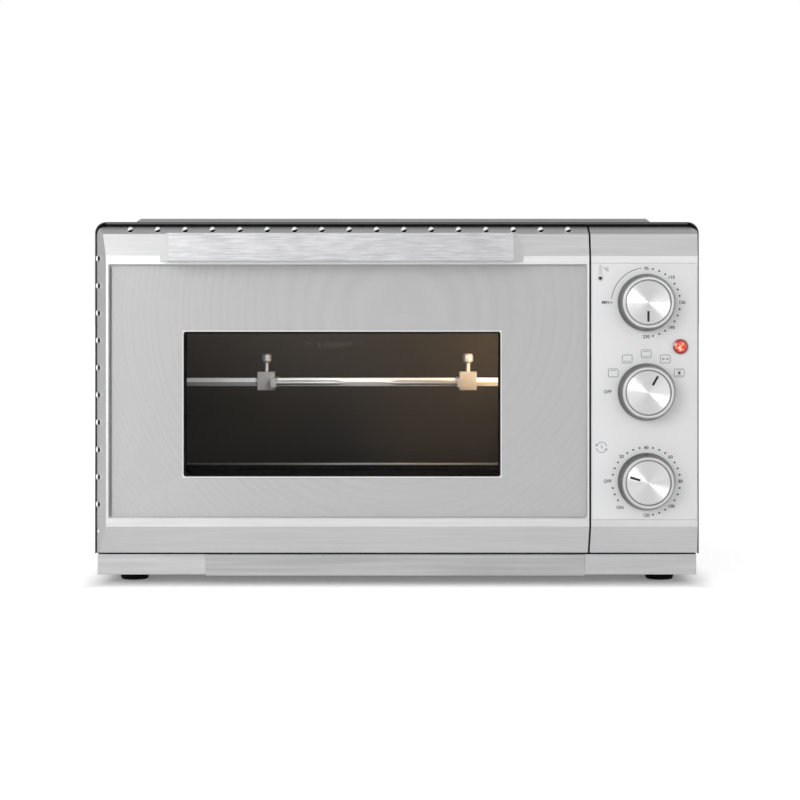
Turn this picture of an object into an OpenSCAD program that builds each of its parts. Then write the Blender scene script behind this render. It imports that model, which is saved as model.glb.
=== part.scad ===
// Countertop rotisserie oven, about 20 litres, with a drop-down glass door and three dials.
// Millimetres. +Z is up and the front faces -Y. The origin lies on the table under the middle of the
// box around the whole oven.

/* [Casing] */
// Width over the casing's sides
body_w = 485; // [440:1:600]
// Height from the table to the casing's top
body_h = 291; // [275:1:370]
// Depth from the door's front face to the rear panel's outer face
body_d = 350; // [300:1:430]
// Sheet thickness of the outer shell
shell_t = 0.8; // [0.6:0.1:1.2]
// Radius of the casing's top corners
shell_r = 9; // [6:0.5:14]
// Height of the raised field pressed into the top
field_h = 4; // [2:0.5:6]
// Sheet thickness of the frame, the pan and the panels inside
sheet_t = 0.8; // [0.6:0.1:1.2]
// Height of the plinth, from the feet's top to the door's sill
plinth_h = 16.3; // [14:0.1:24]
// Height of the rubber feet
foot_h = 7.8; // [6:0.1:14]
// Diameter of the rubber feet
foot_d = 25; // [18:1:30]
// How far the rear spacers keep the oven off a wall
spacer_l = 14; // [8:1:30]

/* [Door] */
// Thickness of the door and of the control panel's housing
door_t = 20; // [18:0.5:26]
// Gap between the door and the control panel
door_gap = 1.5; // [1:0.1:3]
// Sheet thickness of the door's outer frame
frame_t = 1.2; // [0.8:0.1:1.6]
// Thickness of the outer glass
glass_t = 4; // [3:0.5:5]
// Thickness of the inner glass
inner_glass_t = 3; // [2:0.5:4]
// Height of the clear window
window_h = 115.1; // [80:0.1:140]
// Width of the clear window
window_w = 251.9; // [180:0.1:290]
// Diameter of the hinge pins
hinge_pin_d = 4; // [3:0.5:5]
// Diameter of the vent holes along the door's edge
vent_d = 4.4; // [3:0.1:5]
// Pitch of those vent holes
vent_pitch = 21.85; // [15:0.05:30]

/* [Handle] */
// Length of the handle's front plate
handle_l = 270.6; // [180:0.1:300]
// Height of the handle's front plate
handle_h = 22.1; // [18:0.1:28]
// How far the handle stands out from the door
handle_out = 16; // [12:0.5:24]
// Wall thickness of the handle
handle_t = 2.5; // [2:0.1:3.5]

/* [Control panel] */
// Width of the control panel
panel_w = 86.9; // [70:0.1:110]
// Wall thickness of the panel's housing
panel_t = 2; // [1.6:0.1:3]
// Distance between the dials' centres
dial_pitch = 70.85; // [58:0.05:80]
// Diameter of a knob at its base
knob_d = 45.4; // [36:0.1:50]
// How far a knob stands out from the panel
knob_h = 14.5; // [11:0.5:20]
// Diameter of the dials' shafts
shaft_d = 6; // [5:0.5:8]
// Diameter of the pilot lamp's jewel
jewel_d = 11.8; // [8:0.1:14]

/* [Roasting space] */
// Gap between the casing's left side and the cavity
side_gap = 35.5; // [28:0.5:45]
// Gap between the cavity and the control panel, which holds the spit's motor
motor_gap = 31; // [30:0.5:45]
// Gap between the cavity's roof and the casing's top
roof_gap = 37; // [28:0.5:45]
// Gap between the cavity's rear wall and the rear panel
rear_gap = 29; // [20:0.5:45]
// Diameter of the heating rods
rod_d = 6.5; // [5:0.5:8]
// Height of the heating rods' middles above the floor and under the roof
rod_in = 7.2; // [6.5:0.1:8]
// Depth of the drip tray
tray_h = 6; // [4:0.5:12]

/* [Spit] */
// Side of the square spit
spit_s = 7; // [6:0.5:8]
// Height of the spit's axis above the cavity's floor
spit_up = 101; // [85:1:115]
// Length of the forks' prongs
prong_l = 55; // [40:1:70]
// Distance between a fork's two prongs
prong_gap = 40; // [30:1:56]

/* [Fits] */
// Radial clearance of a shaft or pin that turns in a hole
run_clear = 0.05; // [0.02:0.01:0.1]
// Clearance each side of a piece that slides on or into another
slide_clear = 0.2; // [0.1:0.05:0.4]
// Radial clearance of a screw in its hole
screw_clear = 0.3; // [0.1:0.05:0.5]

/* [Hidden] */
$fn = 64;

// Planes from front to back
y_front = (handle_out - body_d - spacer_l) / 2;
y_back = y_front + body_d;
y_face = y_front + door_t;
seat_gap = 1;
y_case = y_face + seat_gap;

// Levels from the table up
z_sill = foot_h + plinth_h;
z_case = z_sill + 0.7;
z_door0 = z_sill + 2.4;
z_door1 = body_h - 3.8;
z_top = body_h + field_h;

// Sides of the casing, the door and the control panel
x_side = body_w / 2;
edge_gap = 1.6;
x_panel1 = x_side - edge_gap;
x_panel0 = x_panel1 - panel_w;
x_door0 = -x_panel1;
x_door1 = x_panel0 - door_gap;

// Outline of the door and panel seen from the side: a lower bevel, a flat, an upper bevel, a strip
low_bevel = [12.5, 22.1];
high_bevel = [6, 24.2];
strip_h = 6.4;
left_slope = 10.4;
right_slope = 2.5;
front_r = 8;
z_flat0 = z_door0 + low_bevel.y;
z_flat1 = z_door1 - high_bevel.y;

// Glass, its rebate and the window
glass_rim = 2;
glass_gap = 0.6;
mask_t = 0.3;
glass_lo = [x_door0 + left_slope + glass_rim, z_flat0 + 6.7];
glass_hi = [x_door1 - 1.6, z_flat1 - 6.4];
lip_w = 4;
y_mask = y_front + glass_t;
y_lip = y_mask + mask_t;
window_lo = [x_door0 + 71.4, glass_lo.y + 32.7];
window_hi = window_lo + [window_w, window_h];
window_r = 2;
spacer_w = 7;
inner_over = 2.5;
panel_back_in = 0.2;
y_inner_panel = y_face - panel_back_in - sheet_t;
y_inner_glass = y_inner_panel - 2.3 - inner_glass_t;

// Hinge: its axis, the pocket that the door's foot swings in and the brackets' plates
y_hinge = y_face - 4;
z_hinge = z_door0 + 17;
y_pocket = y_hinge + 21.5;
z_rail = z_hinge + 5;
bracket_t = 2;
bracket_x = [x_door0 + 9, x_door1 - 10.5];
pin_r = hinge_pin_d / 2;
ear_r = pin_r + 2;
spring_turns = 6;
lug_t = 2;
lug_gap = 0.5;
notch_half = bracket_t / 2 + lug_gap;
plate_low = 1.2;

// Handle: its front plate, its flared ends and its screws
handle_x0 = x_door0 + 61.9;
handle_x1 = handle_x0 + handle_l;
handle_z1 = z_door1 - strip_h;
handle_z0 = handle_z1 - handle_h;
flare_low = 8.8;
flare_high = 3;
screw_r = 1.9;
handle_screw_x = [handle_x0 - 1.5, handle_x1 + 1.5];
handle_screw_z = handle_z0 + 7.8;
handle_boss_y = y_front + 12;

// Dials, from the thermostat down
x_dial = x_panel0 + 43.6;
z_dial = [for (k = [0:2]) z_door1 - 61 - k * dial_pitch];
pointer_deg = [180, 30, -73];
shaft_r = shaft_d / 2;
knob_r = knob_d / 2;
rim_r = knob_r - 2.2;
seat_r = knob_r - 4.6;
cap_r = seat_r - 0.7;
cap_t = 1.3;
knob_gap = 1;
shaft_hole_r = shaft_r + 2;
y_bracket = y_case + 8;
bush_l = 6;
bush_r = shaft_r + 2;
unit_d = 26;
shaft_in = 20;
x_jewel = x_dial + 26.9;
z_jewel = z_dial[0] - 34.9;
jewel_r = jewel_d / 2;
overlay_t = 0.7;
overlay_lo = [x_panel0 + 0.7, z_flat0 + 5.9];
overlay_hi = [x_panel1 - right_slope - 0.4, z_flat1 - 5.8];

// Roasting space
cav_lo = [-x_side + side_gap, y_case + sheet_t, z_rail + 7.5];
cav_hi = [x_panel0 - motor_gap, y_back - rear_gap, body_h - roof_gap];
x_shield = x_panel0 - 5;
y_spit = (cav_lo.y + cav_hi.y) / 2;
z_spit = cav_lo.z + spit_up;
rod_r = rod_d / 2;
rod_y = [y_spit - 85, y_spit + 85];
z_rods = [cav_lo.z + rod_in, cav_hi.z - rod_in];
rod_out = 14;
insulator_r = rod_r + 3;
runner_w = 8;
runner_y = [cav_lo.y + 12, cav_hi.y - 6];
z_tray = z_rods[0] + rod_r + 1;
tray_y = [cav_lo.y + 12, cav_hi.y - 22];
runner_z = [z_tray + tray_h - sheet_t, cav_lo.z + 66, cav_lo.z + 126];
chute_in = [38, 30];
neck_r = 3;
socket_r = 8;
wheel_in = 10;
drive_l = 20;
gearbox = [20, 44, 60];
motor_r = 22;
lamp_y = y_spit - 78;
lamp_z = cav_lo.z + 148;
lamp_box = [15, 52, 36];

// Crumb tray, in the pan under the roasting space
crumb_x = [x_door0 + 87.3, x_door1 - 1.5];
crumb_z = [foot_h - 0.9, z_sill - 0.3];
crumb_in = 4;
crumb_y1 = y_case + 285;
lip_t = 1.2;

// Feet, screws and the cord's way in
foot_x = x_side - 27;
foot_y = [y_front + 57, y_back - 26];
foot_places = [for (x = [-foot_x, foot_x], y = foot_y) [x, y]];
gland_r = 6;
gland_bore_r = 3.5;
gland = [x_panel1 - 40, z_case + 26];
spacer_x = x_side - 70;
rear_screw_x = x_side - 7;

// Corner rounding: points of a rectangle with its corners cut, from the lower left one round
function cut_corners(lo, hi, r) = [
    each r[0] > 0 ? [[lo.x, lo.y + r[0]], [lo.x + r[0], lo.y]] : [lo],
    each r[1] > 0 ? [[hi.x - r[1], lo.y], [hi.x, lo.y + r[1]]] : [[hi.x, lo.y]],
    each r[2] > 0 ? [[hi.x, hi.y - r[2]], [hi.x - r[2], hi.y]] : [hi],
    each r[3] > 0 ? [[lo.x + r[3], hi.y], [lo.x, hi.y - r[3]]] : [[lo.x, hi.y]]
];

// Rectangle from lo to hi with its four corner radii, from the lower left one round
module rounded(lo, hi, r = [0, 0, 0, 0]) {
    polygon(cut_corners(lo, hi, r));
    middles = [
        [lo.x + r[0], lo.y + r[0]], [hi.x - r[1], lo.y + r[1]],
        [hi.x - r[2], hi.y - r[2]], [lo.x + r[3], hi.y - r[3]]
    ];
    for (k = [0:3])
        if (r[k] > 0)
            translate(middles[k]) circle(r[k]);
}

// Solid between two corners
module box(lo, hi) translate(lo) cube(hi - lo);

// An outline in Y and Z, or X and Z, or X and Y, made a solid between two planes
module slab_x(x0, x1) translate([x0, 0, 0]) rotate([90, 0, 90]) linear_extrude(x1 - x0) children();
module slab_y(y0, y1) translate([0, y1, 0]) rotate([90, 0, 0]) linear_extrude(y1 - y0) children();
module slab_z(z0, z1) translate([0, 0, z0]) linear_extrude(z1 - z0) children();

// Round bars along each axis, from the start point in the positive direction
module bar_x(start, r, l) translate(start) rotate([0, 90, 0]) cylinder(r = r, h = l);
module bar_y(start, r, l) translate(start) rotate([-90, 0, 0]) cylinder(r = r, h = l);
module bar_z(start, r, l) translate(start) cylinder(r = r, h = l);

// Screw along Y that points forward from its head, which stands behind the start point
module screw_back(start, r, l) {
    bar_y(start - [0, l, 0], r, l);
    bar_y(start - [0, 0.1, 0], 1.8 * r, 1.7);
}

// Outline moved in by t; the points run counter-clockwise
function unit(v) = v / norm(v);
function inset(p, t) = [
    for (i = [0:len(p) - 1])
        let (n = len(p), a = unit(p[i] - p[(i + n - 1) % n]), b = unit(p[(i + 1) % n] - p[i]))
            p[i] + t * [-a.y - b.y, a.x + b.x] / (1 + a * b)
];

// Side view of the door and the panel, carried back to the plane y
function side_view(y) =
    let (e = [y_front + high_bevel.x, z_door1 - strip_h], rise = strip_h / (y_face - e.x)) [
        [y, e.y + rise * (y - e.x)], e, [y_front, z_flat1], [y_front, z_flat0],
        [y_front + low_bevel.x, z_door0], [y, z_door0]
    ];

// Top views of the door and of the panel, carried back to the plane y
function door_plan(y) = [
    [x_door1, y_front], [x_door1, y],
    [x_door0 - left_slope * (y - y_face) / door_t, y], [x_door0 + left_slope, y_front]
];
function panel_plan(y) = [
    [x_panel1 - right_slope, y_front], [x_panel1 + right_slope * (y - y_face) / door_t, y],
    [x_panel0, y], [x_panel0, y_front]
];

// A front piece's whole shape between two heights, moved in by t and then open at the back
module front_shape(plan, lo, hi, r, t) {
    intersection() {
        slab_x(lo.x - 9, hi.x + 9) polygon(inset(side_view(t > 0 ? y_face + 5 : y_face), t));
        slab_z(lo.y - 9, hi.y + 9) polygon(inset(plan, t));
        slab_y(y_front - 1, y_face + 9) rounded(lo + [-9, -9], hi - [0, t], r);
    }
}
module door_shape(t = 0)
    intersection() {
        front_shape(door_plan(t > 0 ? y_face + 5 : y_face), [x_door0, z_door0],
                    [x_door1 + 9, z_door1], [0, 0, 0, 0], t);
        slab_y(y_front - 1, y_face + 9)
            rounded([x_door0 + t, z_door0 - 9], [x_door1 + 9, z_door1 - t], [0, 0, 0, front_r - t]);
    }
module panel_shape(t = 0)
    intersection() {
        front_shape(panel_plan(t > 0 ? y_face + 5 : y_face), [x_panel0, z_door0],
                    [x_panel1 + 9, z_door1], [0, 0, 0, 0], t);
        slab_y(y_front - 1, y_face + 9)
            rounded([x_panel0 - 9, z_door0 - 9], [x_panel1 - t, z_door1 - t], [0, 0, front_r - t, 0]);
    }

// ---- Casing

// Top and two sides in one wrapped sheet, with a raised field, turned-in feet and a rear lip
module outer_shell() color([0.62, 0.62, 0.62]) {
    outer = [[-x_side, z_case], [x_side, body_h]];
    hem = 1;
    difference() {
        union() {
            slab_y(y_case, y_back - sheet_t) rounded(outer[0], outer[1], [0, 0, shell_r, shell_r]);
            raised_field();
        }
        slab_y(y_case - 1, y_back)
            rounded([-x_side + shell_t, z_case - 1], [x_side - shell_t, body_h - shell_t],
                    [0, 0, shell_r - shell_t, shell_r - shell_t]);
        raised_field(shell_t);
    }
    // hem round the front edge of the top
    box([-x_side + shell_r, y_case, body_h - shell_t - hem],
        [x_side - shell_r, y_case + 6, body_h - shell_t + 0.1]);
    // feet that rest on the pan, and the lip that takes the rear panel
    for (s = [-1, 1])
        box([s > 0 ? x_side - 10 : -x_side, y_case + 4, z_case],
            [s > 0 ? x_side : -x_side + 10, y_back - sheet_t, z_case + shell_t]);
    slab_y(y_back - 2 * sheet_t, y_back - sheet_t) difference() {
        rounded(outer[0], outer[1], [0, 0, shell_r, shell_r]);
        rounded([-x_side + 12, z_case - 1], [x_side - 12, body_h - 12]);
        for (x = [-rear_screw_x, rear_screw_x], z = rear_screw_z()) translate([x, z]) circle(1.8);
        for (x = [-spacer_x, 0, spacer_x]) translate([x, body_h - 6]) circle(1.8);
    }
}

// The field's shape on the top, moved in by t and carried down through the sheet when t is given
module raised_field(t = 0) {
    slope = field_h * 1.4;
    foot = body_h - (t > 0 ? shell_t + 0.1 : shell_t);
    x = [-x_side + 27.5 + t, x_side - 33.5 - t];
    y = [y_case + 22 + t, y_back - 30 - t];
    intersection() {
        slab_x(-x_side, x_side)
            polygon([[y[0], foot], [y[1], foot], [y[1] - slope, z_top - t], [y[0] + slope, z_top - t]]);
        slab_y(y_case, y_back)
            polygon([[x[0], foot], [x[1], foot], [x[1] - slope, z_top - t], [x[0] + slope, z_top - t]]);
    }
}
function rear_screw_z() = [z_case + 30, (z_case + body_h) / 2, body_h - 40];

// Folded pan: floor, four upstanding walls, a turned-in front sill and the crumb tray's way in
module base_pan() color([0.74, 0.74, 0.74]) {
    x = x_side - 2;
    y0 = y_case + 0.5;
    y1 = y_back - 3;
    difference() {
        box([-x, y0, foot_h], [x, y1, z_case]);
        box([-x + sheet_t, y0 + sheet_t, foot_h + sheet_t], [x - sheet_t, y1 - sheet_t, z_case + 1]);
        box([crumb_x[0] + 2.5, y0 - 1, foot_h + sheet_t], [crumb_x[1] - 2.5, y0 + 2, z_sill - 1.6]);
        box([-x - 1, y0 - 1, z_sill], [x + 1, y0 + sheet_t, z_case + 1]);
        for (p = foot_places) bar_z([p.x, p.y, foot_h - 1], 2.2, 3);
    }
    box([-x, y0, z_sill - sheet_t], [x, y_pocket + sheet_t, z_sill]);
    // guides each side of the crumb tray
    for (s = [crumb_x[0] + crumb_in - sheet_t - slide_clear, crumb_x[1] - crumb_in + slide_clear])
        box([s, y_pocket + 4, foot_h + sheet_t - 0.1], [s + sheet_t, crumb_y1 + 20, z_sill - 3]);
}

// Flat back with vent slots, folded over the shell's lip and screwed on
module rear_panel() color([0.7, 0.7, 0.7]) {
    lo = [-x_side + 1, z_case + 0.2];
    hi = [x_side - 1, body_h - 1];
    slab_y(y_back - sheet_t, y_back) difference() {
        rounded(lo, hi, [0, 0, shell_r - 1, shell_r - 1]);
        for (k = [0:9]) translate([x_panel0 + 8 + k * 7.4, body_h - 90]) rounded([0, 0], [3, 44]);
        for (k = [0:11]) translate([-x_side + 60 + k * 9, z_case + 26]) rounded([0, 0], [3, 30]);
        for (x = [-rear_screw_x, rear_screw_x], z = rear_screw_z())
            translate([x, z]) circle(screw_r + screw_clear);
        for (x = [-spacer_x, 0, spacer_x]) translate([x, body_h - 6]) circle(screw_r + screw_clear);
        for (x = [-spacer_x, spacer_x]) translate([x, z_case + 130]) circle(screw_r + screw_clear);
        translate(gland) circle(gland_r + slide_clear);
    }
}

// Front bulkhead: a plate with the roasting opening, a turned edge and the door foot's pocket
module front_frame() color([0.72, 0.72, 0.72]) {
    lo = [-x_side + shell_t + 0.1, z_rail];
    hi = [x_side - shell_t - 0.1, body_h - shell_t - 1.1];
    r = shell_r - shell_t;
    difference() {
        union() {
            slab_y(y_case, y_case + sheet_t) rounded(lo, hi, [0, 0, r, r]);
            slab_y(y_case, y_case + 12) difference() {
                rounded(lo, hi, [0, 0, r, r]);
                rounded(lo + [sheet_t, -1], hi - [sheet_t, sheet_t], [0, 0, r - sheet_t, r - sheet_t]);
            }
            box([lo.x, y_case, z_rail], [hi.x, y_pocket + sheet_t, z_rail + sheet_t]);
            box([lo.x + 10, y_pocket, z_sill], [hi.x - 10, y_pocket + sheet_t, z_rail + sheet_t]);
        }
        box([cav_lo.x, y_case - 1, cav_lo.z], [cav_hi.x, y_case + 2, cav_hi.z]);
        box([x_panel0 + 8, y_case - 1, z_dial[2] - 28], [x_panel1 - 10, y_case + 2, z_dial[0] + 28]);
        for (p = fascia_bosses()) bar_y([p.x, y_case - 1, p.y], screw_r + screw_clear, 3);
    }
}
function fascia_bosses() = [
    for (x = [x_panel0 + 14, x_panel1 - 16], z = [z_rail + 4.5, z_flat1 + 4]) [x, z]
];

// Wall between the hot side and the controls
module heat_shield() color([0.75, 0.75, 0.75])
    box([x_shield, y_pocket + sheet_t + 0.5, foot_h + sheet_t],
        [x_shield + sheet_t, y_back - 4, cav_hi.z + 22]);

// Four rubber feet with a recess for their screws
module feet() color([0.08, 0.08, 0.08])
    for (p = foot_places)
        translate([p.x, p.y, 0]) rotate_extrude()
            polygon([[4.5, 0], [foot_d / 2 - 2, 0], [foot_d / 2 - 1.2, 1.5], [foot_d / 2, foot_h],
                     [2.2, foot_h], [2.2, foot_h - 3], [4.5, foot_h - 3]]);
module foot_screws() color([0.55, 0.55, 0.55])
    for (p = foot_places) {
        bar_z([p.x, p.y, foot_h - 3], screw_r, 8);
        bar_z([p.x, p.y, foot_h - 5], 3.6, 2);
    }

// Screws that hold the rear panel, the spacers and the panel's housing
module casing_screws() color([0.5, 0.5, 0.5]) {
    for (x = [-rear_screw_x, rear_screw_x], z = rear_screw_z())
        screw_back([x, y_back + 0.1, z], 1.7, 8);
    for (x = [-spacer_x, 0, spacer_x]) screw_back([x, y_back + 0.1, body_h - 6], 1.7, 8);
    for (p = fascia_bosses()) screw_back([p.x, y_case + sheet_t + 0.1, p.y], screw_r - 0.1, 11);
}

// Two blocks that keep air behind the oven
module rear_spacers() color([0.1, 0.1, 0.1])
    for (x = [-spacer_x, spacer_x]) {
        bar_y([x, y_back, z_case + 130], 11, spacer_l);
        bar_y([x, y_back - 4, z_case + 130], screw_r, 4.1);
    }

// ---- Roasting space

// Open-fronted box with a flange for the bulkhead and a chute over the crumb tray
module oven_cavity() color([0.3, 0.3, 0.3])
    difference() {
        union() {
            box(cav_lo - [sheet_t, 0, sheet_t], cav_hi + [sheet_t, sheet_t, sheet_t]);
            box([cav_lo.x - 8, cav_lo.y, cav_lo.z - sheet_t],
                [cav_hi.x + 8, cav_lo.y + sheet_t, cav_hi.z + 8]);
        }
        box(cav_lo - [0, 1, 0], cav_hi);
        box([cav_lo.x + chute_in.x, cav_lo.y + chute_in.y, cav_lo.z - 2],
            [cav_hi.x - chute_in.x, cav_hi.y - chute_in.y, cav_lo.z + 1]);
        for (x = [cav_lo.x - 1, cav_hi.x - 1], y = rod_y, z = z_rods)
            bar_x([x, y, z], insulator_r + slide_clear, 3);
        bar_x([cav_hi.x - 1, y_spit, z_spit], socket_r + 1, 3);
        box([cav_hi.x - 1, lamp_y - 18, lamp_z - 12], [cav_hi.x + 2, lamp_y + 18, lamp_z + 12]);
    }

// Ledges on both walls that a tray or a rack slides along
module tray_runners() color([0.35, 0.35, 0.35])
    for (z = runner_z) {
        box([cav_lo.x, runner_y[0], z - 3], [cav_lo.x + runner_w, runner_y[1], z]);
        box([cav_hi.x - runner_w, runner_y[0], z - 3], [cav_hi.x, runner_y[1], z]);
    }

// Shallow enamelled tray whose rim hangs on the lowest ledges
module drip_tray() color([0.12, 0.12, 0.13]) {
    lo = [cav_lo.x + runner_w + 1.5, tray_y[0], z_tray];
    hi = [cav_hi.x - runner_w - 1.5, tray_y[1], z_tray + tray_h];
    difference() {
        union() {
            box(lo, hi);
            box([cav_lo.x + 1, lo.y, hi.z - sheet_t], [cav_hi.x - 1, hi.y, hi.z]);
        }
        box(lo + [sheet_t, sheet_t, sheet_t], hi + [-sheet_t, -sheet_t, 1]);
    }
}

// Heating rods from wall to wall, with the thinner studs of their ends
module heating_rods(z)
    for (y = rod_y) {
        bar_x([cav_lo.x - rod_out, y, z], rod_r, cav_hi.x - cav_lo.x + 2 * rod_out);
        bar_x([cav_lo.x - rod_out - 6, y, z], 1.6, cav_hi.x - cav_lo.x + 2 * rod_out + 12);
    }
module upper_elements() color([0.45, 0.42, 0.4]) heating_rods(z_rods[1]);
module lower_elements() color([0.45, 0.42, 0.4]) heating_rods(z_rods[0]);

// Ceramic collars that carry the rods in the walls
module element_insulators() color([0.93, 0.91, 0.86])
    for (x = [cav_lo.x - 6, cav_hi.x - 2], y = rod_y, z = z_rods)
        difference() {
            bar_x([x, y, z], insulator_r, 8);
            bar_x([x - 1, y, z], rod_r + slide_clear, 10);
        }

// Bracket on the left wall with an open slot for the spit's neck
module spit_support() color([0.6, 0.6, 0.6]) {
    x0 = cav_lo.x;
    difference() {
        box([x0, y_spit - 12, z_spit - 22], [x0 + 6, y_spit + 12, z_spit + 8]);
        bar_x([x0 + 2, y_spit, z_spit], neck_r + run_clear, 9);
        box([x0 + 2, y_spit - neck_r - run_clear, z_spit],
            [x0 + 9, y_spit + neck_r + run_clear, z_spit + 12]);
    }
}

// Reduction gearbox on the right wall, with a foot plate that also carries the motor
module spit_gearbox() color([0.82, 0.82, 0.78]) {
    x0 = cav_hi.x + sheet_t + 1;
    difference() {
        union() {
            box([x0, y_spit - gearbox.y / 2, z_spit - gearbox.z / 2],
                [x0 + gearbox.x, y_spit + gearbox.y / 2, z_spit + gearbox.z / 2]);
            box([x0 - 1, y_spit - 30, z_spit - 14],
                [x0 + 1, y_spit + gearbox.y / 2 + 2 * motor_r + 6, z_spit + 14]);
        }
        bar_x([x0 - 2, y_spit, z_spit], drive_bore_r(), gearbox.x - 2);
    }
}
function drive_bore_r() = 4 + run_clear;
module spit_motor() color([0.75, 0.72, 0.6])
    bar_x([cav_hi.x + sheet_t + 2, y_spit + gearbox.y / 2 + motor_r + 0.5, z_spit], motor_r, gearbox.x - 3);

// Lamp: a shallow housing on the wall's outside, a capsule bulb and a glass in the wall
module lamp_housing() color([0.7, 0.7, 0.7])
    difference() {
        box([cav_hi.x + sheet_t, lamp_y - lamp_box.y / 2, lamp_z - lamp_box.z / 2],
            [cav_hi.x + sheet_t + lamp_box.x, lamp_y + lamp_box.y / 2, lamp_z + lamp_box.z / 2]);
        box([cav_hi.x, lamp_y - lamp_box.y / 2 + 1, lamp_z - lamp_box.z / 2 + 1],
            [cav_hi.x + sheet_t + lamp_box.x - 1, lamp_y + lamp_box.y / 2 - 1, lamp_z + lamp_box.z / 2 - 1]);
    }
module lamp_bulb() color([1, 0.93, 0.75]) {
    p = [cav_hi.x + sheet_t + lamp_box.x / 2, lamp_y - 20, lamp_z];
    bar_y(p + [0, 16, 0], 4.5, 20);
    translate(p + [0, 16, 0]) sphere(4.5);
    color([0.9, 0.88, 0.84]) box(p + [-4, -5, -6], p + [4, 18, 6]);
}
module lamp_cover() color([0.9, 0.92, 0.9, 0.5]) {
    box([cav_hi.x - 2, lamp_y - 18 + slide_clear, lamp_z - 12 + slide_clear],
        [cav_hi.x + sheet_t, lamp_y + 18 - slide_clear, lamp_z + 12 - slide_clear]);
    box([cav_hi.x + sheet_t, lamp_y - 21, lamp_z - 15], [cav_hi.x + sheet_t + 1.2, lamp_y + 21, lamp_z + 15]);
}

// ---- Control panel

// Housing with the door's profile, a recess for the overlay, shaft holes and four bosses
module control_fascia() color([0.8, 0.8, 0.8])
    difference() {
        union() {
            difference() {
                panel_shape();
                panel_shape(panel_t);
            }
            intersection() {
                panel_shape(0.4);
                for (p = fascia_bosses()) bar_y([p.x, y_front, p.y], 5, y_case - y_front);
            }
            for (p = fascia_bosses()) bar_y([p.x, y_face - 4, p.y], 5, 4 + seat_gap);
        }
        slab_y(y_front - 1, y_front + 0.8)
            rounded(overlay_lo - [0.1, 0.1], overlay_hi + [0.1, 0.1]);
        for (z = z_dial) bar_y([x_dial, y_front - 1, z], shaft_hole_r, door_t);
        bar_y([x_jewel, y_front - 1, z_jewel], jewel_r - 1 + slide_clear, door_t);
        for (p = fascia_bosses()) bar_y([p.x, y_case - 12, p.y], screw_r + run_clear, 13);
    }

// Printed plate let into the housing
module control_overlay() color([0.9, 0.9, 0.9])
    slab_y(y_front + 0.1, y_front + 0.1 + overlay_t) difference() {
        rounded(overlay_lo, overlay_hi);
        for (z = z_dial) translate([x_dial, z]) circle(shaft_hole_r);
        translate([x_jewel, z_jewel]) circle(jewel_r - 1 + slide_clear);
    }

// Plate behind the bulkhead's opening that the three units hang on
module control_bracket() color([0.7, 0.7, 0.7]) {
    x = [x_dial - 24, x_dial + 22];
    z = [z_dial[2] - 32, z_dial[0] + 32];
    foot = 3;
    difference() {
        box([x[0], y_bracket, z[0]], [x[1], y_bracket + sheet_t, z[1]]);
        for (k = z_dial) bar_y([x_dial, y_bracket - 1, k], bush_r + slide_clear, 3);
    }
    // each end turns forward to the bulkhead's back and out into a foot
    for (k = [z[0], z[1] - sheet_t])
        box([x[0], y_case + sheet_t, k], [x[1], y_bracket + sheet_t, k + sheet_t]);
    for (k = [z[0] - foot, z[1] - sheet_t])
        box([x[0], y_case + sheet_t, k], [x[1], y_case + 2 * sheet_t, k + foot + sheet_t]);
}

// A dial's unit: a body with a threaded bush and a blind bore for the shaft
module dial_unit(z, size)
    difference() {
        union() {
            box([x_dial - size.x / 2, y_bracket + sheet_t, z - size.z / 2],
                [x_dial + size.x / 2, y_bracket + sheet_t + size.y, z + size.z / 2]);
            bar_y([x_dial, y_bracket - bush_l, z], bush_r, bush_l + sheet_t + 1);
        }
        bar_y([x_dial, y_bracket - bush_l - 1, z], shaft_r + run_clear, bush_l + sheet_t + shaft_in);
    }
module thermostat_unit() color([0.85, 0.84, 0.8]) {
    dial_unit(z_dial[0], [36, unit_d, 32]);
    // capillary and its sensor, along the shield
    y = y_bracket + sheet_t + unit_d;
    bar_y([x_dial - 8, y - 1, z_dial[0] + 8], 1, 30);
    bar_y([x_dial - 8, y + 28, z_dial[0] + 8], 3, 60);
}
module function_switch() color([0.2, 0.2, 0.22]) {
    dial_unit(z_dial[1], [38, unit_d, 38]);
    for (k = [-2:2])
        box([x_dial + k * 7 - 2, y_bracket + unit_d, z_dial[1] + 6],
            [x_dial + k * 7 + 2, y_bracket + unit_d + 8, z_dial[1] + 7]);
}
module timer_unit() color([0.8, 0.76, 0.62]) dial_unit(z_dial[2], [46, unit_d, 44]);
module timer_bell() color([0.85, 0.8, 0.6]) {
    y = y_bracket + sheet_t + unit_d;
    difference() {
        bar_y([x_dial, y + 4, z_dial[2]], 16, 9);
        bar_y([x_dial, y + 3, z_dial[2]], 15, 9);
    }
    bar_y([x_dial, y, z_dial[2]], 2.5, 12.5);
}

// Pilot lamp: a domed jewel in front and its holder behind the panel
module indicator_lens() color([0.9, 0.25, 0.12]) {
    dome = 12;
    y = y_front + 0.1;
    intersection() {
        translate([x_jewel, y - 3.2 + dome, z_jewel]) sphere(dome);
        bar_y([x_jewel, y - 5, z_jewel], jewel_r, 5);
    }
    bar_y([x_jewel, y - 0.1, z_jewel], jewel_r - 1, 6);
}
module indicator_holder() color([0.15, 0.15, 0.15])
    difference() {
        bar_y([x_jewel, y_front + panel_t, z_jewel], jewel_r + 1, 14);
        bar_y([x_jewel, y_front + panel_t - 1, z_jewel], jewel_r - 1 + slide_clear, 6);
    }

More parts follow.
